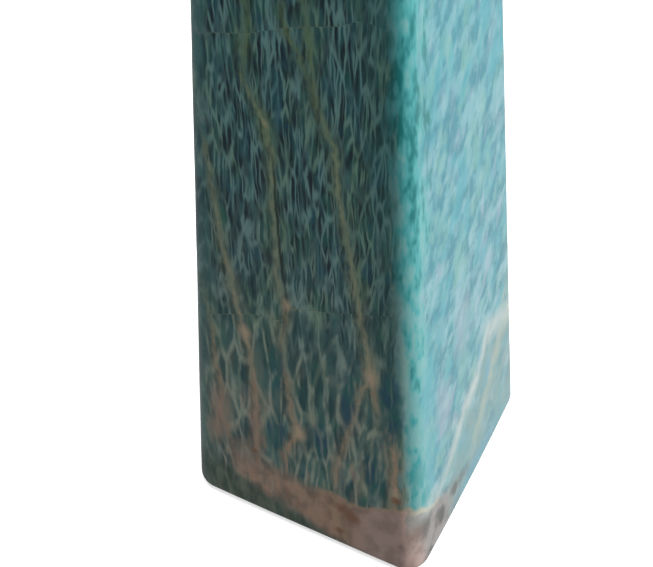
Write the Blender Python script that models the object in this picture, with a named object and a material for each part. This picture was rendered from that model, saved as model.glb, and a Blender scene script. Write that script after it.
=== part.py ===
"""Amazonite obelisk: one stone, sawn to a tapered four-sided shaft with a pyramid point, then ground and polished.

Metres, +Z up. The origin is the middle of the flat base. The brown-seamed side faces -Y and the pale side faces +X.
"""

import math

import bmesh
import bpy
from mathutils import Matrix, Vector

# The sawn block: its base, the height where the shaft turns into the point, and the height of the tip.
BASE_WIDTH = 0.0340
BASE_DEPTH = 0.0331
SHOULDER_HEIGHT = 0.1070
TIP_HEIGHT = 0.1240
# The four sides lean in so little that they would only meet this far up.
MEETING_HEIGHT = 0.3060

# What grinding and polishing took off: upright edges, the edge round the base, the shoulder and the tip.
CORNER_ROUNDING = 0.0029
BASE_ROUNDING = 0.0016
SHOULDER_SOFTENING = 0.0012
TIP_HALF_WIDTH = 0.0007
TIP_DOME_HEIGHT = 0.0004
TIP_DOME_ARC = math.radians(75)
# Polishing on a flat wheel leaves each side slightly crowned, up to just below the tip.
CROWN_ON_X_SIDES = 0.00025
CROWN_ON_Y_SIDES = 0.00010
CROWN_STOPS_BELOW_TIP = 0.0030

# A small scallop knocked out of the base edge beside the near corner, on the pale side.
CHIP_RADIUS = 0.0011
CHIP_CENTRE = (BASE_WIDTH / 2 + 0.00045, -BASE_DEPTH / 2 + 0.0026, 0.00015)

CORNER_SEGMENTS = 8
SIDE_SEGMENTS = 6
BASE_ROWS = 5
SHAFT_ROWS = 12
SHOULDER_ROWS = 4
POINT_ROWS = 5
TIP_ROWS = 3
# Faces that meet at more than this show a crease: the broken facets of the chip.
SHARP_ANGLE = math.radians(35)

# Amazonite seen from a step away: deep blue-green under a clear polish.
STONE_COLOUR = (0.090, 0.215, 0.220, 1.0)
STONE_ROUGHNESS = 0.22


def clear_scene():
    for obj in list(bpy.data.objects):
        bpy.data.objects.remove(obj, do_unlink=True)


def shaft_half_width(height):
    """Half the width of the sawn block across X, from the base to the tip."""
    shaft = BASE_WIDTH / 2 * (1 - height / MEETING_HEIGHT)
    if height <= SHOULDER_HEIGHT:
        return shaft
    at_shoulder = BASE_WIDTH / 2 * (1 - SHOULDER_HEIGHT / MEETING_HEIGHT)
    share = (TIP_HEIGHT - height) / (TIP_HEIGHT - SHOULDER_HEIGHT)
    return at_shoulder * share


def base_rows():
    """(height, half width) up the quarter round between the flat base and the sides."""
    rows = []
    for step in range(BASE_ROWS + 1):
        angle = math.pi / 2 * step / BASE_ROWS
        height = BASE_ROUNDING * (1 - math.cos(angle))
        inset = BASE_ROUNDING * (1 - math.sin(angle))
        rows.append((height, shaft_half_width(height) - inset))
    return rows


def shaft_rows():
    """Evenly spaced rows up the shaft, between the base rounding and the softened shoulder."""
    low = BASE_ROUNDING
    high = SHOULDER_HEIGHT - SHOULDER_SOFTENING
    heights = [low + (high - low) * step / SHAFT_ROWS for step in range(1, SHAFT_ROWS + 1)]
    return [(height, shaft_half_width(height)) for height in heights]


def shoulder_rows():
    """The polished break between the shaft and the point, as a quadratic curve with its peak at the sharp edge."""
    below = SHOULDER_HEIGHT - SHOULDER_SOFTENING
    above = SHOULDER_HEIGHT + SHOULDER_SOFTENING
    points = [Vector((height, shaft_half_width(height))) for height in (below, SHOULDER_HEIGHT, above)]
    rows = []
    for step in range(1, SHOULDER_ROWS + 1):
        share = step / SHOULDER_ROWS
        first = points[0].lerp(points[1], share)
        second = points[1].lerp(points[2], share)
        rows.append(tuple(first.lerp(second, share)))
    return rows


def point_rows():
    """Straight rows up the point, as far as the blunted tip."""
    low = SHOULDER_HEIGHT + SHOULDER_SOFTENING
    slope = (TIP_HEIGHT - SHOULDER_HEIGHT) / shaft_half_width(SHOULDER_HEIGHT)
    high = TIP_HEIGHT - TIP_HALF_WIDTH * slope
    heights = [low + (high - low) * step / POINT_ROWS for step in range(1, POINT_ROWS + 1)]
    return [(height, shaft_half_width(height)) for height in heights]


def tip_rows():
    """A small dome that closes the point."""
    start = point_rows()[-1][0]
    rows = []
    for step in range(1, TIP_ROWS + 1):
        angle = TIP_DOME_ARC * step / TIP_ROWS
        rows.append((start + TIP_DOME_HEIGHT * math.sin(angle), TIP_HALF_WIDTH * math.cos(angle)))
    return rows


def rounded_base_outline(mesh):
    """One rounded rectangle the size of the base, its straight sides cut so that they can be crowned."""
    corners = bmesh.ops.create_grid(mesh, x_segments=1, y_segments=1, size=0.5)["verts"]
    bmesh.ops.scale(mesh, vec=(BASE_WIDTH, BASE_DEPTH, 1), verts=corners)
    bmesh.ops.bevel(
        mesh,
        geom=corners,
        offset=CORNER_ROUNDING,
        offset_type="OFFSET",
        segments=CORNER_SEGMENTS,
        profile=0.5,
        affect="VERTICES",
        material=-1,
    )
    shortest = min(BASE_WIDTH, BASE_DEPTH) - 3 * CORNER_ROUNDING
    straight = [edge for edge in mesh.edges if edge.calc_length() > shortest]
    bmesh.ops.subdivide_edges(mesh, edges=straight, cuts=SIDE_SEGMENTS - 1)


def raise_rows(mesh, rows):
    """Lifts the outline through the rows, each a copy of the base outline at its own height and size, and closes it."""
    ring = mesh.edges[:]
    height, half_width = 0.0, BASE_WIDTH / 2
    for place, (next_height, next_half_width) in enumerate(rows):
        if place:
            raised = bmesh.ops.extrude_edge_only(mesh, edges=ring)["geom"]
            ring = [item for item in raised if isinstance(item, bmesh.types.BMEdge)]
        ring_vertices = list({vertex for edge in ring for vertex in edge.verts})
        share = next_half_width / half_width
        bmesh.ops.scale(mesh, vec=(share, share, 1), verts=ring_vertices)
        bmesh.ops.translate(mesh, vec=(0, 0, next_height - height), verts=ring_vertices)
        height, half_width = next_height, next_half_width
    bmesh.ops.contextual_create(mesh, geom=ring)


def crown_sides(mesh):
    """Swells each side towards its middle line, and leaves the corners and the flat base where they are."""
    for vertex in mesh.verts:
        if vertex.co.z > TIP_HEIGHT - CROWN_STOPS_BELOW_TIP:
            continue
        size = shaft_half_width(vertex.co.z) / (BASE_WIDTH / 2)
        across = vertex.co.x / (BASE_WIDTH / 2 * size)
        along = vertex.co.y / (BASE_DEPTH / 2 * size)
        vertex.co.x += CROWN_ON_X_SIDES * size * across * max(0.0, 1 - along * along)
        vertex.co.y += CROWN_ON_Y_SIDES * size * along * max(0.0, 1 - across * across)


def stone_material():
    material = bpy.data.materials.new("polished_amazonite")
    material.use_nodes = True
    shader = material.node_tree.nodes["Principled BSDF"]
    shader.inputs["Base Color"].default_value = STONE_COLOUR
    shader.inputs["Roughness"].default_value = STONE_ROUGHNESS
    shader.inputs["Metallic"].default_value = 0.0
    material.diffuse_color = STONE_COLOUR
    return material


def chip_cutter():
    """A coarse ball whose facets leave the scallop with flat broken faces."""
    mesh = bmesh.new()
    bmesh.ops.create_icosphere(mesh, subdivisions=2, radius=CHIP_RADIUS, matrix=Matrix.Translation(CHIP_CENTRE))
    data = bpy.data.meshes.new("chip_cutter")
    mesh.to_mesh(data)
    mesh.free()
    cutter = bpy.data.objects.new("chip_cutter", data)
    cutter.hide_render = True
    cutter.display_type = "WIRE"
    bpy.context.scene.collection.objects.link(cutter)
    return cutter


def obelisk(cutter):
    mesh = bmesh.new()
    rounded_base_outline(mesh)
    raise_rows(mesh, base_rows() + shaft_rows() + shoulder_rows() + point_rows() + tip_rows())
    crown_sides(mesh)
    bmesh.ops.recalc_face_normals(mesh, faces=mesh.faces)
    data = bpy.data.meshes.new("obelisk")
    mesh.to_mesh(data)
    mesh.free()
    data.materials.append(stone_material())
    data.shade_smooth()
    data.set_sharp_from_angle(angle=SHARP_ANGLE)
    stone = bpy.data.objects.new("obelisk", data)
    bpy.context.scene.collection.objects.link(stone)
    chip = stone.modifiers.new("base_edge_chip", "BOOLEAN")
    chip.operation = "DIFFERENCE"
    chip.solver = "EXACT"
    chip.object = cutter
    return stone


def main():
    clear_scene()
    obelisk(chip_cutter())


main()
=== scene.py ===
"""The looks of the amazonite obelisk: one polished stone on a plain pale floor, in soft studio light."""

import math

import bmesh
import bpy
from mathutils import Matrix, Vector, noise


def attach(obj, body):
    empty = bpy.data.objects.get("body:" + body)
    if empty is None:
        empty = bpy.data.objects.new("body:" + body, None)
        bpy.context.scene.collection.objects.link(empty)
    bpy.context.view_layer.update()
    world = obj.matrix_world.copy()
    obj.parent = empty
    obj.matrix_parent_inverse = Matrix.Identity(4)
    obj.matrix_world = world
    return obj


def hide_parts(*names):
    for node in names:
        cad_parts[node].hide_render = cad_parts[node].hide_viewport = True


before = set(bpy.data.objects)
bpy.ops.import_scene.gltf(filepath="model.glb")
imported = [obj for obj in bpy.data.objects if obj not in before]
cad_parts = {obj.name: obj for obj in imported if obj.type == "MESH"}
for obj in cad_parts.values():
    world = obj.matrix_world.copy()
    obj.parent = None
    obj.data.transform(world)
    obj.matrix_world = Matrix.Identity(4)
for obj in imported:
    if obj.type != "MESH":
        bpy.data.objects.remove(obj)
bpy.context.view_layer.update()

# The stone's form. One block of amazonite, sawn to a leaning four-sided shaft and a low point, its edges and
# corners ground round on a wheel and every side polished. It stands on its flat sawn foot.
BASE_WIDTH = 0.0340
BASE_DEPTH = 0.0331
SHOULDER_HEIGHT = 0.1070
TIP_HEIGHT = 0.1240
MEETING_HEIGHT = 0.3060
CORNER_ROUNDING = 0.0029
BASE_ROUNDING = 0.0016
SHOULDER_SOFTENING = 0.0012
TIP_HALF_WIDTH = 0.0007
TIP_DOME_HEIGHT = 0.0004
TIP_DOME_ARC = math.radians(75)
CROWN_ON_X_SIDES = 0.00025
CROWN_ON_Y_SIDES = 0.00010
CROWN_STOPS_BELOW_TIP = 0.0030
FINE_SPACING = 0.0007
CORNER_SEGMENTS = 12
BASE_ROWS = 8
SHOULDER_ROWS = 8
TIP_ROWS = 6


def half_width(height):
    """Half the stone's width across X at a height, before its edges are softened."""
    shaft = BASE_WIDTH / 2 * (1 - min(height, SHOULDER_HEIGHT) / MEETING_HEIGHT)
    if height <= SHOULDER_HEIGHT:
        return shaft
    return shaft * (TIP_HEIGHT - height) / (TIP_HEIGHT - SHOULDER_HEIGHT)


def straight_rows(low, high):
    """Evenly spaced (height, half width) rows above low, up to high."""
    count = math.ceil((high - low) / FINE_SPACING)
    heights = [low + (high - low) * step / count for step in range(1, count + 1)]
    return [(height, half_width(height)) for height in heights]


def rounded_rows():
    """Every row of the stone: the rounded foot, the shaft, the softened shoulder, the point and its dome."""
    rows = []
    for step in range(BASE_ROWS + 1):
        angle = math.pi / 2 * step / BASE_ROWS
        height = BASE_ROUNDING * (1 - math.cos(angle))
        rows.append((height, half_width(height) - BASE_ROUNDING * (1 - math.sin(angle))))
    below = SHOULDER_HEIGHT - SHOULDER_SOFTENING
    above = SHOULDER_HEIGHT + SHOULDER_SOFTENING
    rows += straight_rows(BASE_ROUNDING, below)
    bend = [Vector((height, half_width(height))) for height in (below, SHOULDER_HEIGHT, above)]
    for step in range(1, SHOULDER_ROWS + 1):
        share = step / SHOULDER_ROWS
        rows.append(tuple(bend[0].lerp(bend[1], share).lerp(bend[1].lerp(bend[2], share), share)))
    slope = (TIP_HEIGHT - SHOULDER_HEIGHT) / half_width(SHOULDER_HEIGHT)
    dome_start = TIP_HEIGHT - TIP_HALF_WIDTH * slope
    rows += straight_rows(above, dome_start)
    for step in range(1, TIP_ROWS + 1):
        angle = TIP_DOME_ARC * step / TIP_ROWS
        rows.append((dome_start + TIP_DOME_HEIGHT * math.sin(angle), TIP_HALF_WIDTH * math.cos(angle)))
    return rows


stone_mesh = bmesh.new()
corners = bmesh.ops.create_grid(stone_mesh, x_segments=1, y_segments=1, size=0.5)["verts"]
bmesh.ops.scale(stone_mesh, vec=(BASE_WIDTH, BASE_DEPTH, 1), verts=corners)
bmesh.ops.bevel(
    stone_mesh,
    geom=corners,
    offset=CORNER_ROUNDING,
    offset_type="OFFSET",
    segments=CORNER_SEGMENTS,
    profile=0.5,
    affect="VERTICES",
    material=-1,
)
straight_edges = [edge for edge in stone_mesh.edges if edge.calc_length() > 3 * CORNER_ROUNDING]
side_cuts = round(straight_edges[0].calc_length() / FINE_SPACING) - 1
bmesh.ops.subdivide_edges(stone_mesh, edges=straight_edges, cuts=side_cuts)
ring = stone_mesh.edges[:]
row_height = 0.0
row_half_width = BASE_WIDTH / 2
for place, (next_height, next_half_width) in enumerate(rounded_rows()):
    if place:
        raised = bmesh.ops.extrude_edge_only(stone_mesh, edges=ring)["geom"]
        ring = [item for item in raised if isinstance(item, bmesh.types.BMEdge)]
    ring_vertices = list({vertex for edge in ring for vertex in edge.verts})
    share = next_half_width / row_half_width
    bmesh.ops.scale(stone_mesh, vec=(share, share, 1), verts=ring_vertices)
    bmesh.ops.translate(stone_mesh, vec=(0, 0, next_height - row_height), verts=ring_vertices)
    row_height = next_height
    row_half_width = next_half_width
bmesh.ops.contextual_create(stone_mesh, geom=ring)
bmesh.ops.recalc_face_normals(stone_mesh, faces=stone_mesh.faces)

# Each side swells a little towards its middle, and hand polishing leaves it a few hundredths of a
# millimetre wavy.
WAVE_DEPTH = 0.00003
WAVES_PER_METRE = 95
stone_mesh.normal_update()
for vertex in stone_mesh.verts:
    height = vertex.co.z
    if height > TIP_HEIGHT - CROWN_STOPS_BELOW_TIP:
        continue
    size = half_width(height) / (BASE_WIDTH / 2)
    across = vertex.co.x / (BASE_WIDTH / 2 * size)
    along = vertex.co.y / (BASE_DEPTH / 2 * size)
    wave = noise.noise(vertex.co * WAVES_PER_METRE) * WAVE_DEPTH * min(1.0, height / BASE_ROUNDING)
    swell_x = CROWN_ON_X_SIDES * size * across * max(0.0, 1 - along * along)
    swell_y = CROWN_ON_Y_SIDES * size * along * max(0.0, 1 - across * across)
    vertex.co += Vector((swell_x, swell_y, 0)) + vertex.normal * wave
stone_data = bpy.data.meshes.new("polished_stone")
stone_mesh.to_mesh(stone_data)
stone_mesh.free()
stone = bpy.data.objects.new("polished_stone", stone_data)
bpy.context.scene.collection.objects.link(stone)

# A small scallop knocked out of the base edge beside the near corner, with flat broken faces.
CHIP_RADIUS = 0.0011
CHIP_CENTRE = (BASE_WIDTH / 2 + 0.00045, -BASE_DEPTH / 2 + 0.0026, 0.00015)
chip_mesh = bmesh.new()
chip_place = Matrix.Translation(CHIP_CENTRE)
bmesh.ops.create_icosphere(chip_mesh, subdivisions=2, radius=CHIP_RADIUS, matrix=chip_place)
chip_data = bpy.data.meshes.new("chip_cutter")
chip_mesh.to_mesh(chip_data)
chip_mesh.free()
chip_cutter = bpy.data.objects.new("chip_cutter", chip_data)
bpy.context.scene.collection.objects.link(chip_cutter)
chip = stone.modifiers.new("base_edge_chip", "BOOLEAN")
chip.operation = "DIFFERENCE"
chip.solver = "EXACT"
chip.object = chip_cutter
chipped = bpy.data.meshes.new_from_object(stone.evaluated_get(bpy.context.evaluated_depsgraph_get()))
stone.modifiers.remove(chip)
stone.data = chipped
bpy.data.objects.remove(chip_cutter)
stone.data.shade_smooth()
stone.data.set_sharp_from_angle(angle=math.radians(35))

# The map of the surface: the four sides side by side, every other one upside down, and above them the
# underside, made smaller.
SIDE_PITCH = 0.0286
MAP_MARGIN = 0.0010
MAP_SIZE = 0.1400
FOOT_SCALE = 0.42
SIDES = (Vector((0, -1, 0)), Vector((1, 0, 0)), Vector((0, 1, 0)), Vector((-1, 0, 0)))
surface_map = stone.data.uv_layers.new(name="OFBake")
for face in stone.data.polygons:
    side = max(range(4), key=lambda number: face.normal.dot(SIDES[number]))
    sideways = Vector((0, 0, 1)).cross(SIDES[side])
    under = face.normal.z < -0.8 and face.center.z < BASE_ROUNDING / 4
    for corner in face.loop_indices:
        place = stone.data.vertices[stone.data.loops[corner].vertex_index].co
        if under:
            across = MAP_SIZE - MAP_MARGIN - (BASE_WIDTH / 2 - place.x) * FOOT_SCALE
            up = MAP_SIZE - MAP_MARGIN - (BASE_DEPTH / 2 - place.y) * FOOT_SCALE
        else:
            across = BASE_WIDTH / 2 + MAP_MARGIN + side * SIDE_PITCH + place.dot(sideways)
            up = MAP_MARGIN + (place.z if side % 2 == 0 else TIP_HEIGHT - place.z)
        surface_map.data[corner].uv = (across / MAP_SIZE, up / MAP_SIZE)

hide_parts("obelisk")
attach(stone, "root")

# The stone's pattern, which runs all through it and so round its edges: blue-green feldspar with fine pale
# blades that stand upright across X, tan seams that healed old cracks, and a mauve-brown foot.
stone_finish = bpy.data.materials.new("polished_amazonite")
stone_finish.use_nodes = True


class Field:
    """A value that varies through the stone. Python's operators on it add Math nodes to the finish."""

    tree = stone_finish.node_tree

    def __init__(self, socket):
        self.socket = socket

    @classmethod
    def node(cls, kind, settings, inputs, output=0):
        """Any other node: its settings are set first, then the values or fields of its sockets."""
        made = cls.tree.nodes.new(kind)
        for name, value in settings.items():
            if name == "stops":
                stops = made.color_ramp.elements
                stops.remove(stops[1])
                stops[0].position, stops[0].color = value[0]
                for position, colour in value[1:]:
                    stops.new(position).color = colour
            else:
                setattr(made, name, value)
        for name, value in inputs.items():
            if isinstance(value, Field):
                cls.tree.links.new(value.socket, made.inputs[name])
            else:
                made.inputs[name].default_value = value
        return cls(made.outputs[output])

    @classmethod
    def math(cls, operation, *values):
        return cls.node("ShaderNodeMath", {"operation": operation}, dict(enumerate(values)))

    def __add__(self, other):
        return self.math("ADD", self, other)

    def __sub__(self, other):
        return self.math("SUBTRACT", self, other)

    def __rsub__(self, other):
        return self.math("SUBTRACT", other, self)

    def __mul__(self, other):
        return self.math("MULTIPLY", self, other)

    def __truediv__(self, other):
        return self.math("DIVIDE", self, other)

    def __abs__(self):
        return self.math("ABSOLUTE", self)

    __radd__ = __add__
    __rmul__ = __mul__


def step_between(value, low, high):
    """0 below low and 1 above high, with a smooth step between. The two may be given the other way round."""
    inputs = {"Value": value, "From Min": low, "From Max": high}
    return Field.node("ShaderNodeMapRange", {"interpolation_type": "SMOOTHSTEP"}, inputs)


def place_at(x, y, z):
    return Field.node("ShaderNodeCombineXYZ", {}, {"X": x, "Y": y, "Z": z})


def cloud(place, detail=2.0, roughness=0.5):
    """Soft noise about 0.5, with lumps as wide as the units of place."""
    inputs = {"Vector": place, "Scale": 1.0, "Detail": detail, "Roughness": roughness}
    return Field.node("ShaderNodeTexNoise", {}, inputs)


def larger(first, second):
    return Field.math("MAXIMUM", first, second)


def blend_colour(share, first, second):
    settings = {"data_type": "RGBA", "clamp_factor": True}
    return Field.node("ShaderNodeMix", settings, {0: share, 6: first, 7: second}, output=2)


place_in_metres = Field.node("ShaderNodeTexCoord", {}, {}, output=3)
millimetres = Field.node(
    "ShaderNodeVectorMath", {"operation": "SCALE"}, {"Vector": place_in_metres, "Scale": 1000.0}
)
x, y, z = (Field.node("ShaderNodeSeparateXYZ", {}, {"Vector": millimetres}, output=axis) for axis in range(3))

PATH_REACH = 20.0


def traced(along, start, end, path):
    """The middle and the strength of a line all along it, from its points (place, middle, strength)."""
    stops = []
    for spot, middle, strength in path:
        position = (spot - start) / (end - start)
        stops.append((position, ((middle + PATH_REACH) / (2 * PATH_REACH), strength, 0, 1)))
    ramp = Field.node("ShaderNodeValToRGB", {"stops": stops}, {"Fac": (along - start) / (end - start)})
    middle = Field.node("ShaderNodeSeparateColor", {}, {"Color": ramp}, output=0)
    strength = Field.node("ShaderNodeSeparateColor", {}, {"Color": ramp}, output=1)
    return middle * (2 * PATH_REACH) - PATH_REACH, strength


def between(share, first, second):
    """first where share is 0, and second where it is 1."""
    return share * (second - first) + first


TAPER_ON_Y_SIDES = BASE_DEPTH / 2 / MEETING_HEIGHT
behind_front = larger(y + BASE_DEPTH / 2 * 1000 - z * TAPER_ON_Y_SIDES, 0)

# Two healed breaks run nearly level through the stone, and what lies above each has slipped a little
# sideways. Their points are (x, height above the middle height, strength) in millimetres.
BREAKS = {
    45.0: [
        (-17, -6, 0.1), (-12.7, -4.2, 0.5), (-6.1, -0.3, 0.3), (-2.5, 0.6, 1), (-1.0, 3.9, 1), (0.6, 4.5, 1),
        (4.2, 6, 0.4), (7, 7.5, 0), (17, 12, 0.1),
    ],
    92.0: [
        (-17, -8, 0), (-9, -3.8, 0.5), (-5, -2.2, 0.4), (-3, -1, 0), (-0.7, 0.4, 0.45), (4.9, 2.9, 0.4),
        (7, 4.5, 0),
    ],
}
SLIP_AT_A_BREAK = 0.45
BREAK_HALF_WIDTH = 0.20
break_line = 0.0
slip = 0.0
for middle_height, path in BREAKS.items():
    middle, strength = traced(x, -20, 20, path)
    above = z - middle_height - middle + behind_front * 0.2
    slip = slip + step_between(above, -0.05, 0.05) * SLIP_AT_A_BREAK
    break_line = larger(step_between(abs(above), BREAK_HALF_WIDTH, 0.04) * strength, break_line)

# The blades bend gently as they rise, and lean back in Y. They are fine in the upper part of the stone
# and coarse lower down.
BLADE_LEAN = math.radians(18)
lowness = step_between(z + (cloud(place_at(x / 5, y / 5, z / 9)) - 0.5) * 30, 64, 34)
slow_bend = cloud(place_at(x / 9, y / 9, z / 22), detail=1.0) - 0.5
quick_bend = cloud(place_at(x / 1.8 + 20, y / 4, z / 7), detail=1.0) - 0.5
wriggle = cloud(place_at(x / 1.2 + 8, y / 3, z / 2.2), detail=1.0) - 0.5
blade_x = x + slow_bend * 1.8 + quick_bend * 0.5 + wriggle * between(lowness, 0.3, 0.2) + slip
along_blade = z * math.cos(BLADE_LEAN) - y * math.sin(BLADE_LEAN)
across_blade = z * math.sin(BLADE_LEAN) + y * math.cos(BLADE_LEAN)


def streaks(seed, width, length, detail=1.0, roughness=0.5):
    """Noise drawn out along the blades."""
    place = place_at(blade_x / width + seed, across_blade / (width * 5), along_blade / length)
    return cloud(place, detail, roughness)


def net(seed, width, length, border):
    """The borders between long upright lenses that fill the stone: 1 on a border and 0 inside a lens."""
    place = place_at(blade_x / width + seed, across_blade / (width * 4), along_blade / length)
    settings = {"feature": "DISTANCE_TO_EDGE"}
    gap = Field.node("ShaderNodeTexVoronoi", settings, {"Vector": place, "Scale": 1.0}, output=0)
    return step_between(gap, border, 0.01)


def fibres(seed, spacing, tilt, length):
    """Fine upright lines, each set at a tilt of its own, that sway a little and fade out in places."""
    place = place_at(blade_x / (spacing * 3) + seed, across_blade / 7, along_blade / length)
    sway = (cloud(place, detail=2.0) - 0.5) * 2.2
    turns = (blade_x + along_blade * tilt) / spacing + sway
    line = step_between(Field.math("PINGPONG", turns, 0.5), 0.24, 0.49)
    return line * step_between(streaks(seed + 9, spacing, 6.0), 0.42, 0.60)


# Pale threads run between dark lenses, on a ground of soft darker and lighter streaks.
fine_threads = larger(fibres(3, 0.72, 0.03, 12) * 0.85, net(29, 0.64, 8.5, border=0.20) * 0.9)
coarse_threads = larger(fibres(41, 1.6, 0.05, 18) * 0.9, net(71, 1.6, 12, border=0.16))
thread_strength = between(step_between(streaks(67, 0.9, 4.0), 0.38, 0.60), 0.30, 1.0)
thread = between(lowness, fine_threads, coarse_threads) * thread_strength
fine_ground = streaks(53, 0.8, 5.0, detail=3.0)
coarse_ground = streaks(47, 1.9, 8.0, detail=2.0)
ground = step_between(between(lowness, fine_ground, coarse_ground), 0.40, 0.62)

# The colours are bluer in some parts and greener in others. Lower down all are paler and browner.
DARK_BLUE = (0.000, 0.020, 0.034, 1)
DARK_GREEN = (0.001, 0.026, 0.026, 1)
LENS_LOW_DOWN = (0.012, 0.094, 0.098, 1)
TEAL_BLUE = (0.015, 0.100, 0.120, 1)
TEAL_GREEN = (0.026, 0.118, 0.100, 1)
GROUND_LOW_DOWN = (0.112, 0.236, 0.196, 1)
THREAD_GREY = (0.170, 0.355, 0.350, 1)
THREAD_OLIVE = (0.190, 0.360, 0.265, 1)
THREAD_LOW_DOWN = (0.395, 0.420, 0.325, 1)
CLEAR_BLUE = (0.004, 0.085, 0.130, 1)
CLEAR_GREEN = (0.010, 0.130, 0.100, 1)
green_cloud = cloud(place_at(x / 3 + 31, y / 6, z / 12), detail=3.0, roughness=0.6)
green_share = step_between(green_cloud, 0.46, 0.66)
depth = step_between(z, 78, 12)
lens_colour = blend_colour(green_share, DARK_BLUE, DARK_GREEN)
lens_colour = blend_colour(lowness * 0.75, lens_colour, LENS_LOW_DOWN)
ground_colour = blend_colour(green_share, TEAL_BLUE, TEAL_GREEN)
ground_colour = blend_colour(depth * 0.6, ground_colour, GROUND_LOW_DOWN)
thread_colour = blend_colour(green_share, THREAD_GREY, THREAD_OLIVE)
thread_colour = blend_colour(depth * 0.8, thread_colour, THREAD_LOW_DOWN)
front_colour = blend_colour(ground, lens_colour, ground_colour)
clear_hue = streaks(91, 1.7, 5.0, detail=2.0)
front_colour = blend_colour(step_between(clear_hue, 0.58, 0.72) * 0.7, front_colour, CLEAR_BLUE)
front_colour = blend_colour(step_between(clear_hue, 0.42, 0.28) * 0.7, front_colour, CLEAR_GREEN)
front_colour = blend_colour(thread * 0.95, front_colour, thread_colour)

# The stone turns paler and bluer in a layer under the +X side, which shows the blades flat, as soft patches.
# This paleness is partly the stone's own and partly painted light, standing in for the key light on the +X
# side.
# The layer follows the shaft and, above the shoulder, the slope of the point.
CORNER_SHADE = (0.012, 0.105, 0.088, 1)
PALE_AND_PAINTED_LIGHT_LAYER_DEPTH = 2.0
POINT_SLOPE = half_width(SHOULDER_HEIGHT) / (TIP_HEIGHT - SHOULDER_HEIGHT)
to_shaft_side = BASE_WIDTH / 2 * 1000 - z * (BASE_WIDTH / 2 / MEETING_HEIGHT)
to_side = Field.math("MINIMUM", to_shaft_side, (TIP_HEIGHT * 1000 - z) * POINT_SLOPE)
under_x_side = to_side - x
front_colour = blend_colour(step_between(under_x_side, 6.5, 3.0) * 0.35, front_colour, CORNER_SHADE)
layer_noise = cloud(place_at(x / 1.5, y / 4, z / 5 + 5), detail=3.0) - 0.5
into_layer = under_x_side + layer_noise * 2.5 + (ground - 0.5) * 0.8 - PALE_AND_PAINTED_LIGHT_LAYER_DEPTH
layer_softness = between(lowness, 0.7, 0.3)
# Painted light in part: this mask makes the lit +X side paler, standing in for the light falling on it.
pale_and_painted_light_layer = step_between(into_layer, layer_softness, layer_softness * -1.0)

PALE_DEEP = (0.015, 0.135, 0.170, 1)
PALE_CYAN = (0.065, 0.215, 0.240, 1)
PALE_WHITE = (0.155, 0.275, 0.305, 1)
PALE_GREEN = (0.090, 0.235, 0.210, 1)
PALE_LAVENDER = (0.185, 0.245, 0.300, 1)
PALE_TURQUOISE = (0.030, 0.215, 0.255, 1)
STREAK_WHITE = (0.200, 0.315, 0.325, 1)
STREAK_BLUE = (0.030, 0.190, 0.215, 1)
patches = cloud(place_at(x / 2 + 60, (y - z * 0.12) / 2.4, z / 3.2), detail=4.0, roughness=0.55)
big_patches = cloud(place_at(x / 4 + 11, (y - z * 0.2) / 4, z / 8), detail=2.0)
tint = cloud(place_at(x / 4 + 77, (y - z * 0.1) / 3, z / 6), detail=2.0)
pale_streaks = cloud(place_at(x, (y - z * 0.15) / 1.4 + 15, z / 2.6), detail=3.0)
lower_part = step_between(z, 90, 50)
pale_and_painted_light_colour = blend_colour(step_between(patches, 0.38, 0.60), PALE_DEEP, PALE_CYAN)
whiteness = step_between(patches + (big_patches - 0.5), 0.48, 0.78) * between(lower_part, 0.2, 0.8)
pale_and_painted_light_colour = blend_colour(whiteness, pale_and_painted_light_colour, PALE_WHITE)
pale_and_painted_light_colour = blend_colour(step_between(tint, 0.48, 0.34) * 0.6, pale_and_painted_light_colour, PALE_GREEN)
lavender_share = step_between(tint, 0.54, 0.70) * between(lower_part, 0.2, 0.5)
pale_and_painted_light_colour = blend_colour(lavender_share, pale_and_painted_light_colour, PALE_LAVENDER)
pale_and_painted_light_colour = blend_colour(step_between(big_patches, 0.48, 0.36) * 0.5, pale_and_painted_light_colour, PALE_TURQUOISE)
pale_and_painted_light_colour = blend_colour(step_between(pale_streaks, 0.50, 0.74) * 0.3, pale_and_painted_light_colour, STREAK_WHITE)
pale_and_painted_light_colour = blend_colour(step_between(pale_streaks, 0.48, 0.28) * 0.35, pale_and_painted_light_colour, STREAK_BLUE)


def reach_from(middle, size):
    """How far a place is from a point of the stone, with 1 on an upright oval of that size round it."""
    spot = place_at((x - middle[0]) / size[0], (y - middle[1]) / size[1], (z - middle[2]) / size[2])
    return Field.node("ShaderNodeVectorMath", {"operation": "LENGTH"}, {0: spot}, output=1)


# Along the near upright edge the layer is a strong teal, with three deeper spots low down.
CORNER_DEEP = (0.002, 0.110, 0.112, 1)
CORNER_TEAL = (0.042, 0.230, 0.235, 1)
CORNER_LOW_DOWN = (0.120, 0.270, 0.265, 1)
CORNER_SPOT = (0.012, 0.190, 0.200, 1)
CORNER_RIM = (0.210, 0.330, 0.300, 1)
CORNER_SPOTS = (
    ((16.4, -14.0, 23), (2, 1.4, 3.5)),
    ((16.6, -12.9, 16.5), (2, 0.9, 2.5)),
    ((16.2, -14.4, 34), (2, 1.2, 3)),
)
corner_noise = cloud(place_at(x / 1.2 + 4, y / 1.2, z / 4.5), detail=2.0, roughness=0.6)
near_corner = step_between(behind_front + layer_noise * 6 + (corner_noise - 0.5) * 6, 5.0, 1.8)
corner_tone = corner_noise + step_between(z, 80, 55) * 0.11 + step_between(z, 50, 30) * 0.04 - 0.015
corner_colour = blend_colour(step_between(corner_tone, 0.34, 0.54), CORNER_DEEP, CORNER_TEAL)
corner_colour = blend_colour(step_between(corner_tone, 0.50, 0.68) * 0.8, corner_colour, CORNER_LOW_DOWN)
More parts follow.
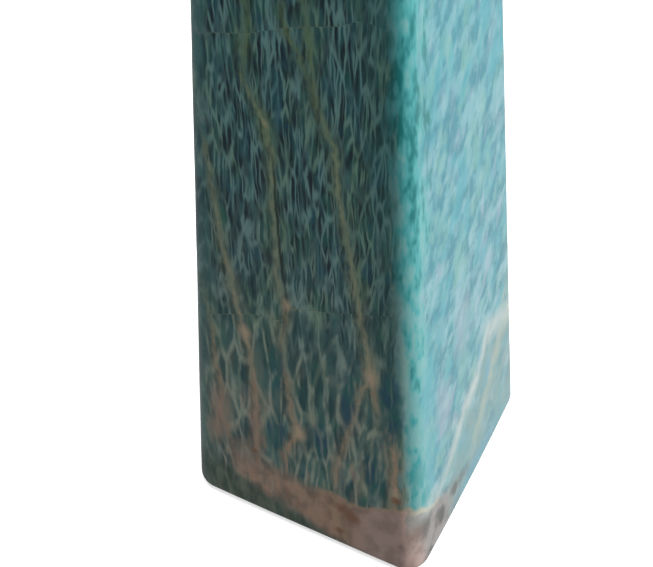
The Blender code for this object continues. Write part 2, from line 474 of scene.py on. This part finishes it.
for middle, size in CORNER_SPOTS:
    reach = reach_from(middle, size) + (corner_noise - 0.5) * 1.5
    corner_colour = blend_colour(step_between(reach, 1.3, 0.7) * 0.8, corner_colour, CORNER_SPOT)
corner_rim = step_between(under_x_side + layer_noise * 2.0, 0.9, 1.5) * lowness
corner_colour = blend_colour(corner_rim * 0.6, corner_colour, CORNER_RIM)
pale_and_painted_light_colour = blend_colour(near_corner, pale_and_painted_light_colour, corner_colour)
# Painted light in part: the +X side's paler colour also stands in for the key light on that side.
colour = blend_colour(pale_and_painted_light_layer, front_colour, pale_and_painted_light_colour)

# The hidden -X side shows the blades flat too, as darker patches with short pale streaks.
LEFT_DARK = (0.008, 0.075, 0.090, 1)
LEFT_TEAL = (0.050, 0.160, 0.165, 1)
LEFT_STREAK = (0.180, 0.310, 0.285, 1)
LEFT_GREEN = (0.090, 0.190, 0.120, 1)
left_layer = step_between(to_side + x + layer_noise * 3.0, 3.4, 1.2)
left_patches = cloud(place_at(x / 2 + 35, (y + z * 0.12) / 1.6, z / 5.0), detail=3.0, roughness=0.6)
left_streaks = cloud(place_at(x / 2, (y + z * 0.12) / 0.8 + 25, z / 5.5), detail=2.0)
left_colour = blend_colour(step_between(left_patches, 0.36, 0.60), LEFT_DARK, LEFT_TEAL)
left_colour = blend_colour(step_between(left_streaks, 0.50, 0.70) * 0.7, left_colour, LEFT_STREAK)
left_colour = blend_colour(step_between(tint, 0.46, 0.32) * 0.5, left_colour, LEFT_GREEN)
left_colour = blend_colour(depth * 0.35, left_colour, GROUND_LOW_DOWN)
colour = blend_colour(left_layer, colour, left_colour)
front_part = 1 - larger(pale_and_painted_light_layer, left_layer) * 0.8


def patch_at(middle, size, softness=0.7):
    """1 inside an upright oval round a point of the stone, and 0 outside, with a ragged border."""
    reach = reach_from(middle, size) + (patches - 0.5) * 1.2
    return step_between(reach, 1 + softness / 2, 1 - softness / 2)


# Large patches of turquoise and lavender lie beside the near corner, low on the pale side, and a greener
# one on the corner itself.
LOW_TURQUOISE = (0.032, 0.210, 0.252, 1)
LOW_LAVENDER = (0.167, 0.225, 0.265, 1)
CORNER_GREEN = (0.135, 0.235, 0.165, 1)
PALE_SIDE_PATCHES = (
    ((16.6, -10.8, 37), (3, 2.2, 7), LOW_TURQUOISE),
    ((16.6, -11.6, 22), (3, 1.5, 6), LOW_TURQUOISE),
    ((16.6, -7.4, 29), (3, 1.9, 6), LOW_LAVENDER),
    ((16.6, -1.5, 39), (3, 2.2, 6), LOW_LAVENDER),
)
for middle, size, hue in PALE_SIDE_PATCHES:
    colour = blend_colour(patch_at(middle, size, softness=1.2) * pale_and_painted_light_layer * 0.6, colour, hue)
colour = blend_colour(patch_at((16, -15.4, 50), (3, 2.2, 10)) * 0.75, colour, CORNER_GREEN)

# Seams: old upright cracks healed with tan feldspar, which cross the stone from front to back. Their points
# are (height, x on the front, strength) in millimetres. Behind the front each sheet drifts off sideways.
TOP_OF_PATHS = 125
SEAMS = {
    "middle": (0.45, [
        (14, -2.6, 0.2), (20.0, -1.9, 0.8), (23.7, -0.4, 1.0), (27, -1.3, 0.8), (34, -1.9, 0.8),
        (38.6, -2.8, 0.6), (45, -2.0, 0.7), (49, -1.6, 0.9), (52, -2.6, 0.6), (58.5, -2.6, 0.5),
        (68.3, -2.9, 0.7), (73.8, -2.8, 0.8), (78.2, -3.5, 1.0), (83.7, -5.9, 0.5), (90.7, -4.8, 0.5),
        (98, -5.6, 0.4), (110, -3.0, 0.4), (122, 0.5, 0.3),
    ]),
    "right": (-0.3, [
        (12, 5.0, 0.1), (18, 4.8, 0.4), (27, 6.2, 0.6), (37.5, 8.0, 0.6), (41.8, 9.2, 1.0), (48, 8.4, 0.8),
        (52, 7.7, 0.6), (58, 6.9, 0.8), (65.6, 5.8, 0.8), (72, 4.7, 0.8), (78, 4.5, 0.8), (82, 3.0, 0.6),
        (85, 2.2, 0.6), (92, 1.7, 0.6), (102, 1.0, 0.4), (122, 3.0, 0.3),
    ]),
    "right_foot": (0.25, [
        (12, 13.2, 0.8), (18, 13.0, 1.0), (26.8, 12.7, 1.0), (31.6, 11.8, 0.8), (36.8, 9.9, 0.8),
        (41.8, 9.2, 0.9), (46, 9.6, 0.0),
    ]),
    "left": (-0.2, [
        (10, -6.7, 0.4), (15, -6.7, 0.8), (20, -6.5, 0.7), (27.6, -6.2, 0.9), (35, -6.6, 0.8),
        (40.4, -7.3, 1.0), (45, -8.2, 0.9), (49.5, -8.5, 0.8), (54.7, -9.5, 0.7), (60, -10.0, 0.7),
        (67, -10.4, 0.7), (75, -11.5, 0.6), (90, -13.0, 0.3), (122, -15, 0.0),
    ]),
    "far_left": (0.3, [
        (8, -9.5, 0.2), (15, -10.3, 0.6), (21, -11.8, 0.8), (26.6, -11.2, 0.6), (33, -11.8, 0.6),
        (39, -11.9, 0.5), (50, -13.0, 0.0),
    ]),
    "thin": (-0.5, [
        (78, 3.5, 0.0), (84.9, 1.9, 0.5), (89.4, 0.7, 0.6), (91.3, -0.7, 0.6), (97, -1.6, 0.3),
        (108, -2.2, 0.0),
    ]),
}
SEAM_HALF_WIDTH = 0.62
SEAM_HALO_REACH = 1.8
seam_core = 0.0
seam_halo = 0.0
seam_shade = 0.0
for seed, (drift, path) in enumerate(SEAMS.values()):
    middle, strength = traced(z, 0, TOP_OF_PATHS, path)
    wander = (cloud(place_at(seed * 7.3, y / 8, z / 12)) - 0.5) * behind_front * 0.35
    wiggle = (cloud(place_at(seed * 5.1 + 2, y / 4, z / 1.6), detail=3.0) - 0.5) * 1.0
    beside = x + wiggle + wander - behind_front * drift * 0.35 - middle
    seam_core = larger(step_between(abs(beside), SEAM_HALF_WIDTH, 0.0) * strength, seam_core)
    seam_halo = larger(step_between(abs(beside), SEAM_HALO_REACH, 0.2) * strength, seam_halo)
    seam_shade = larger(step_between(abs(beside + 0.75), 0.5, 0.1) * strength, seam_shade)

# The seams are rusty tan at the foot and olive higher up, and broken into short dashes.
SEAM_COLOURS = [
    (0.08, (0.250, 0.150, 0.095, 1)),
    (0.17, (0.470, 0.325, 0.210, 1)),
    (0.26, (0.390, 0.310, 0.205, 1)),
    (0.38, (0.320, 0.325, 0.215, 1)),
    (0.60, (0.245, 0.310, 0.185, 1)),
    (0.72, (0.140, 0.225, 0.110, 1)),
]
HALO_COLOURS = [
    (0.10, (0.280, 0.200, 0.145, 1)),
    (0.22, (0.290, 0.270, 0.200, 1)),
    (0.36, (0.220, 0.255, 0.170, 1)),
    (0.55, (0.125, 0.195, 0.115, 1)),
    (0.72, (0.085, 0.160, 0.090, 1)),
]
RUST = (0.250, 0.105, 0.050, 1)
SEAM_SHADE = (0.004, 0.024, 0.018, 1)
BREAK_TAN = (0.200, 0.230, 0.140, 1)
DARK_LINE_COLOUR = (0.006, 0.022, 0.016, 1)
share_of_height = z / TOP_OF_PATHS
seam_colour = Field.node("ShaderNodeValToRGB", {"stops": SEAM_COLOURS}, {"Fac": share_of_height})
halo_colour = Field.node("ShaderNodeValToRGB", {"stops": HALO_COLOURS}, {"Fac": share_of_height})
break_up = cloud(place_at(x / 0.5, y / 3, z / 1.8 + 70), detail=3.0, roughness=0.6)
seam_breaks = step_between(break_up, 0.40, 0.58)
rusty = step_between(cloud(place_at(x / 1.5, y / 3, z / 5 + 33)), 0.52, 0.66) * step_between(z, 55, 25)
line_colour = blend_colour(rusty * 0.5, seam_colour, RUST)
colour = blend_colour(seam_shade * seam_breaks * front_part * 0.7, colour, SEAM_SHADE)
colour = blend_colour(seam_halo * between(thread, 0.3, 1.0) * front_part, colour, halo_colour)
colour = blend_colour(seam_core * between(seam_breaks, 0.55, 1.2) * front_part, colour, line_colour)

# The -X side has one tan seam of its own: its points are (height, y, strength).
LEFT_SEAM = [
    (8, 7, 0.3), (16, 6, 0.8), (30, 5.2, 1), (47, 3, 0.8), (60, 3.6, 0.7), (78, 0.5, 0.8), (95, -1.5, 0.4),
    (112, -1, 0),
]
middle, strength = traced(z, 0, TOP_OF_PATHS, LEFT_SEAM)
beside = y + (cloud(place_at(x / 3 + 66, y / 3, z / 2.2), detail=2.0) - 0.5) * 2.0 - middle
left_seam = strength * left_layer
left_line = step_between(abs(beside), 0.6, 0.0) * left_seam * between(seam_breaks, 0.4, 1)
colour = blend_colour(step_between(abs(beside), 2.2, 0.2) * left_seam * 0.5, colour, halo_colour)
colour = blend_colour(left_line, colour, line_colour)

# A thin dark line runs down the front beside the middle seam, and the breaks show as thin tan lines.
DARK_LINE = [
    (40, -2.6, 0), (45, -2.0, 0.4), (50, -1.5, 0.8), (58.5, -2.2, 1), (68.3, -2.5, 1), (73, -2.6, 0.6),
    (76, -3, 0),
]
middle, strength = traced(z, 0, TOP_OF_PATHS, DARK_LINE)
near_front = step_between(behind_front, 6, 3)
dark_line = step_between(abs(x + wriggle * 0.4 - middle), 0.26, 0.06) * strength * near_front
colour = blend_colour(dark_line * 0.8, colour, DARK_LINE_COLOUR)
colour = blend_colour(break_line * front_part * between(seam_breaks, 0.2, 0.65), colour, BREAK_TAN)

# Pale tan knots sit where seams meet: (x, height, radius) in millimetres, on the front.
FRONT = -16
KNOT_TAN = (0.580, 0.440, 0.300, 1)
KNOTS = (
    (-0.4, 23.7, 0.8), (9.2, 41.8, 0.8), (-7.3, 40.4, 0.7), (-1.6, 49.1, 0.5), (-3.4, 78.2, 0.4),
    (13.0, 19, 0.7),
)
for across, height, radius in KNOTS:
    spot = patch_at((across, FRONT, height), (radius, 3, radius * 1.9), softness=1.8)
    colour = blend_colour(spot * 0.85, colour, KNOT_TAN)

# A brown veil thins out upwards from the foot, with pinkish clouds on the left, and a few large lenses of
# deep blue show in the lower half: (x, height), (half width, half height).
VEIL_OLIVE = (0.300, 0.310, 0.220, 1)
VEIL_PINK = (0.380, 0.270, 0.195, 1)
CLOUD_PINK = (0.370, 0.265, 0.205, 1)
DEEP_BLUE = (0.003, 0.080, 0.130, 1)
DEEP_TEAL = (0.006, 0.115, 0.120, 1)
PINK_CLOUDS = (
    ((-11.5, 22), (1.5, 5)),
    ((-12.8, 17), (1.2, 3)),
    ((-8.5, 13), (1.6, 3.5)),
    ((-6.6, 22), (0.8, 6)),
)
DEEP_LENSES = (
    ((11.8, 37), (1.6, 7)),
    ((-3.6, 22.1), (1.2, 4.5)),
    ((10.3, 20), (1.2, 5)),
    ((-3.2, 36), (0.9, 5)),
    ((6.2, 35), (0.9, 6)),
    ((2.6, 24), (1.0, 5)),
)
veil_grain = step_between(streaks(83, 1.6, 9, detail=2.0), 0.48, 0.68)
veil = depth * veil_grain * step_between(z, 48, 15) * front_part
pink_share = step_between(cloud(place_at(x / 2.5 + 7, y / 5, z / 8)), 0.45, 0.60)
colour = blend_colour(veil * 0.6, colour, blend_colour(pink_share, VEIL_OLIVE, VEIL_PINK))
for (across, height), (wide, tall) in PINK_CLOUDS:
    pink_cloud = patch_at((across, FRONT, height), (wide, 5, tall), softness=1.6)
    colour = blend_colour(pink_cloud * 0.55, colour, CLOUD_PINK)
deep_colour = blend_colour(step_between(clear_hue, 0.45, 0.55), DEEP_TEAL, DEEP_BLUE)
for (across, height), (wide, tall) in DEEP_LENSES:
    deep_lens = patch_at((across, FRONT, height), (wide, 5, tall))
    colour = blend_colour(deep_lens * (0.85 - thread * 0.3), colour, deep_colour)

# The foot: a mauve-brown layer with a tan rim, thickest at the near corner and gone towards the back on the
# right. At the low left the green stone comes through again.
BROWN = (0.450, 0.285, 0.200, 1)
BROWN_DARK = (0.250, 0.165, 0.115, 1)
MAUVE = (0.460, 0.325, 0.285, 1)
MAUVE_DARK = (0.340, 0.230, 0.195, 1)
GREY_PALE = (0.165, 0.150, 0.142, 1)
GREY_DARK = (0.060, 0.056, 0.050, 1)
FOOT_GREEN = (0.030, 0.062, 0.042, 1)
FOOT_OLIVE = (0.105, 0.150, 0.105, 1)
TAN = (0.440, 0.310, 0.195, 1)
CREAM = (0.400, 0.360, 0.230, 1)
foot_noise = cloud(place_at(x / 3, y / 3, z / 5 + 50), detail=4.0, roughness=0.6) - 0.5
corner_rise = step_between(x, 8, 15) * step_between(y, -11, -16) * 3.8
into_foot = corner_rise - larger(y + 12, 0) * 0.55 + foot_noise * 4.0 + 12.3 - z
foot_softness = larger(between(step_between(x, -3, 6), 3.0, 0.6), step_between(y, -12, -8) * 2.5)
foot = step_between(into_foot, foot_softness * -1.0, foot_softness)
foot_rim = step_between(abs(into_foot - 0.3), 1.0, 0.1) * step_between(x, -2, 6) * step_between(y, -8, -12)
mottle = cloud(place_at(x / 2.2 + 90, y / 2.6, z / 3.6), detail=3.0)
mottled = step_between(mottle, 0.36, 0.62)
brown = blend_colour(mottled, BROWN_DARK, BROWN)
mauve = blend_colour(mottled, MAUVE_DARK, MAUVE)
grey = blend_colour(mottled, GREY_DARK, GREY_PALE)
foot_colour = blend_colour(step_between(x, 5, 11), brown, mauve)
grey_share = step_between(y - x * 0.5, -24.6, -21.5) * pale_and_painted_light_layer
foot_colour = blend_colour(grey_share, foot_colour, grey)
low_left = step_between(z + x * 0.40 - foot_noise * 4.0, 5.0, 1.8)
left_fade = between(step_between(x, -7, -12.5), 1.0, 0.15)
fine_grain = streaks(97, 0.9, 4.0, detail=2.0)
foot_grain = between(step_between(fine_grain, 0.36, 0.60), between(step_between(x, -6, 5), 0.62, 0.96), 1.0)
low_colour = blend_colour(step_between(fine_grain, 0.40, 0.66), FOOT_GREEN, FOOT_OLIVE)
colour = blend_colour(foot * (1 - low_left * 0.9) * left_fade * foot_grain, colour, foot_colour)
foot_rim = foot_rim * between(seam_breaks, 0.35, 0.8)
colour = blend_colour(foot_rim * 0.8, colour, blend_colour(pale_and_painted_light_layer, TAN, CREAM))
colour = blend_colour(low_left * foot * 0.8, colour, low_colour)

# A tan streak climbs through the foot from the base edge, with rust spots beside it: the streak's points
# are (height, x, strength), and the spots are (x, height, radius).
TAN_STREAK = [
    (1.5, 7.2, 0.3), (2.3, 6.3, 0.8), (5.5, 5.1, 1), (9.1, 4.5, 1), (9.6, 2.8, 0.3), (10.2, 1.5, 0),
]
RUST_SPOTS = ((5.8, 9.9, 0.9), (7.3, 8.8, 1.0), (5.4, 4.2, 0.6), (-7.0, 15.1, 0.4), (13.2, 17.4, 0.6))
RUST_SPOT = (0.240, 0.110, 0.055, 1)
middle, strength = traced(z, 0, 12, TAN_STREAK)
streak = step_between(abs(x - middle + (mottle - 0.5) * 2), 0.9, 0.2) * strength * step_between(y, -8, -14)
colour = blend_colour(streak * 0.7, colour, TAN)
for across, height, radius in RUST_SPOTS:
    spot = patch_at((across, FRONT, height), (radius, 3, radius * 1.2), softness=1.4)
    colour = blend_colour(spot * between(foot_grain, 0.4, 0.9), colour, RUST_SPOT)

# On the pale side a cream seam arches up from the foot, with a tan one under it and blue patches between.
# Their points are (y, height over the middle height, strength). Two dark grey spots lie at its foot.
ARCH_HEIGHT = 20
ARCH = [
    (-9.3, -6.8, 0.5), (-5.5, -4.4, 0.9), (-1.2, 0.6, 1), (2.6, 2.7, 1), (5.5, 7.8, 1), (7.7, 7.6, 1),
    (12, 4, 1),
]
LOW_ARCH = [(-1, -12, 0), (2.5, -9.5, 0.8), (6, -4.0, 1), (9.0, 0.5, 1), (12, 3, 0.7), (15, 4, 0.3)]
ARCH_CREAM = (0.280, 0.325, 0.310, 1)
LOW_ARCH_TAN = (0.225, 0.260, 0.205, 1)
UNDER_ARCH = (0.110, 0.190, 0.185, 1)
ARCH_BLUE = (0.060, 0.200, 0.255, 1)
SPOT_GREY = (0.030, 0.030, 0.026, 1)
BLUE_PATCHES = (
    ((16.5, 5.8, 19.5), (3, 1.0, 3.0)),
    ((16.5, 3.4, 26.0), (3, 0.8, 2.6)),
    ((16, 2, 2.5), (3, 7, 2.5)),
)
GREY_SPOTS = (
    ((16.5, -9.1, 5.9), (3, 0.9, 1.8)),
    ((16.5, -5.1, 6.5), (3, 0.7, 1.6)),
)
arch_noise = (cloud(place_at(x, y / 3, z / 3 + 12), detail=3.0) - 0.5) * 3
middle, strength = traced(y, -20, 20, ARCH)
over_arch = z - ARCH_HEIGHT - middle + arch_noise
under_arch = step_between(over_arch, 0.5, -2.5) * pale_and_painted_light_layer * step_between(y, -9, -3)
arch = step_between(abs(over_arch), 3.8, 0.0) * strength * pale_and_painted_light_layer
middle, strength = traced(y, -20, 20, LOW_ARCH)
over_low_arch = z - ARCH_HEIGHT - middle - arch_noise
low_arch = step_between(abs(over_low_arch), 4.5, 0.0) * strength * pale_and_painted_light_layer
colour = blend_colour(under_arch * between(mottled, 0.3, 0.8), colour, UNDER_ARCH)
for middle, size in BLUE_PATCHES:
    colour = blend_colour(patch_at(middle, size, softness=1.2) * 0.7, colour, ARCH_BLUE)
colour = blend_colour(arch * between(patches, 0.35, 1.3), colour, ARCH_CREAM)
colour = blend_colour(low_arch * between(patches, 0.1, 1.1), colour, LOW_ARCH_TAN)
for middle, size in GREY_SPOTS:
    colour = blend_colour(patch_at(middle, size) * 0.7, colour, SPOT_GREY)

shader = stone_finish.node_tree.nodes["Principled BSDF"]
stone_finish.node_tree.links.new(colour.socket, shader.inputs["Base Color"])
# The hand polish is even and slightly wavy, a little duller on the foot and the seams. The breaks are fine
# grooves.
GLOSSIEST = 0.14
BREAK_DEPTH = 0.5
polish = cloud(place_at(x / 3, y / 3, z / 5 + 15), detail=3.0)
dullness = polish * 0.12 + GLOSSIEST + larger(foot, seam_core) * 0.08
stone_finish.node_tree.links.new(dullness.socket, shader.inputs["Roughness"])
waves = cloud(place_at(x / 2.5, y / 2.5, z / 4 + 30), detail=3.0, roughness=0.4)
relief = {"Strength": 0.6, "Distance": 0.00006, "Height": waves - break_line * BREAK_DEPTH}
bump = Field.node("ShaderNodeBump", {}, relief)
stone_finish.node_tree.links.new(bump.socket, shader.inputs["Normal"])
stone.data.materials.clear()
stone.data.materials.append(stone_finish)

# The floor: a wide matt white card that runs far past the light, so no view shows its edge near the stone.
FLOOR_RADIUS = 3.0
floor_mesh = bmesh.new()
bmesh.ops.create_circle(floor_mesh, cap_ends=True, segments=96, radius=FLOOR_RADIUS)
floor_data = bpy.data.meshes.new("floor")
floor_mesh.to_mesh(floor_data)
floor_mesh.free()
floor = bpy.data.objects.new("floor", floor_data)
bpy.context.scene.collection.objects.link(floor)
floor_finish = bpy.data.materials.new("floor_card")
floor_finish.use_nodes = True
card = floor_finish.node_tree.nodes["Principled BSDF"]
card.inputs["Base Color"].default_value = (0.62, 0.62, 0.62, 1)
card.inputs["Roughness"].default_value = 0.9
card.inputs["Specular IOR Level"].default_value = 0.0
card.inputs["Emission Color"].default_value = (1, 1, 1, 1)
card.inputs["Emission Strength"].default_value = 0.60
floor.data.materials.append(floor_finish)
floor.visible_glossy = False
floor.visible_diffuse = False
floor.visible_shadow = False


def studio_lamp(name, azimuth, elevation, distance, size, power):
    """A round soft lamp that faces the stone, with its azimuth counted from +X."""
    lamp_data = bpy.data.lights.new(name, "AREA")
    lamp_data.shape = "DISK"
    lamp_data.size = size
    lamp_data.energy = power
    lamp = bpy.data.objects.new(name, lamp_data)
    azimuth = math.radians(azimuth)
    elevation = math.radians(elevation)
    level = math.cos(elevation)
    towards = Vector((math.cos(azimuth) * level, math.sin(azimuth) * level, math.sin(elevation)))
    lamp.location = Vector((0, 0, 0.05)) + towards * distance
    lamp.rotation_euler = towards.to_track_quat("Z", "Y").to_euler()
    bpy.context.scene.collection.objects.link(lamp)


# The light: a large lamp low on the pale side, one straight above for the floor, and a weak one in front on
# the left.
studio_lamp("key_lamp", azimuth=15, elevation=26, distance=0.9, size=0.40, power=16.0)
studio_lamp("top_lamp", azimuth=0, elevation=90, distance=1.6, size=0.80, power=26.0)
studio_lamp("fill_lamp", azimuth=-125, elevation=35, distance=1.0, size=0.60, power=1.6)

# The room: pale towards the back on the right, dim in front on the left, and plain white behind the floor.
ROOM_BRIGHT_SIDE = (0.48, 0.88, 0.0)
ROOM_DIM = 0.20
ROOM_BRIGHT = 0.60
room = bpy.data.worlds.new("pale_room")
bpy.context.scene.world = room
room.use_nodes = True
Field.tree = room.node_tree
direction = Field.node("ShaderNodeTexCoord", {}, {})
two_directions = {0: direction, 1: ROOM_BRIGHT_SIDE}
facing = Field.node("ShaderNodeVectorMath", {"operation": "DOT_PRODUCT"}, two_directions, output=1)
glow = ROOM_DIM + step_between(facing, -0.3, 0.7) * (ROOM_BRIGHT - ROOM_DIM)
seen = Field.node("ShaderNodeLightPath", {}, {})
strength = glow * (1 - seen) + seen * 0.95
room.node_tree.links.new(strength.socket, room.node_tree.nodes["Background"].inputs["Strength"])
room.node_tree.nodes["Background"].inputs["Color"].default_value = (0.97, 0.985, 1.0, 1)
bpy.context.scene.view_settings.view_transform = "Standard"

# The camera: close above the near upright edge, looking down, turned slightly as it was held.
VIEW_AZIMUTH = math.radians(28.803)
VIEW_ELEVATION = math.radians(54.614)
VIEW_ROLL = math.radians(-2.557)
VIEW_DISTANCE = 0.26112
VIEW_TARGET = Vector((-0.01565, 0.02126, 0))
camera_data = bpy.data.cameras.new("camera")
camera_data.sensor_fit = "HORIZONTAL"
camera_data.sensor_width = 36
camera_data.lens = 96.94
camera_data.clip_start = 0.01
camera = bpy.data.objects.new("camera", camera_data)
turn = Matrix.Rotation(VIEW_AZIMUTH, 4, "Z") @ Matrix.Rotation(math.pi / 2 - VIEW_ELEVATION, 4, "X")
turn = turn @ Matrix.Rotation(VIEW_ROLL, 4, "Z")
camera.matrix_world = Matrix.Translation(VIEW_TARGET + turn.to_3x3() @ Vector((0, 0, VIEW_DISTANCE))) @ turn
bpy.context.scene.collection.objects.link(camera)
bpy.context.scene.camera = camera
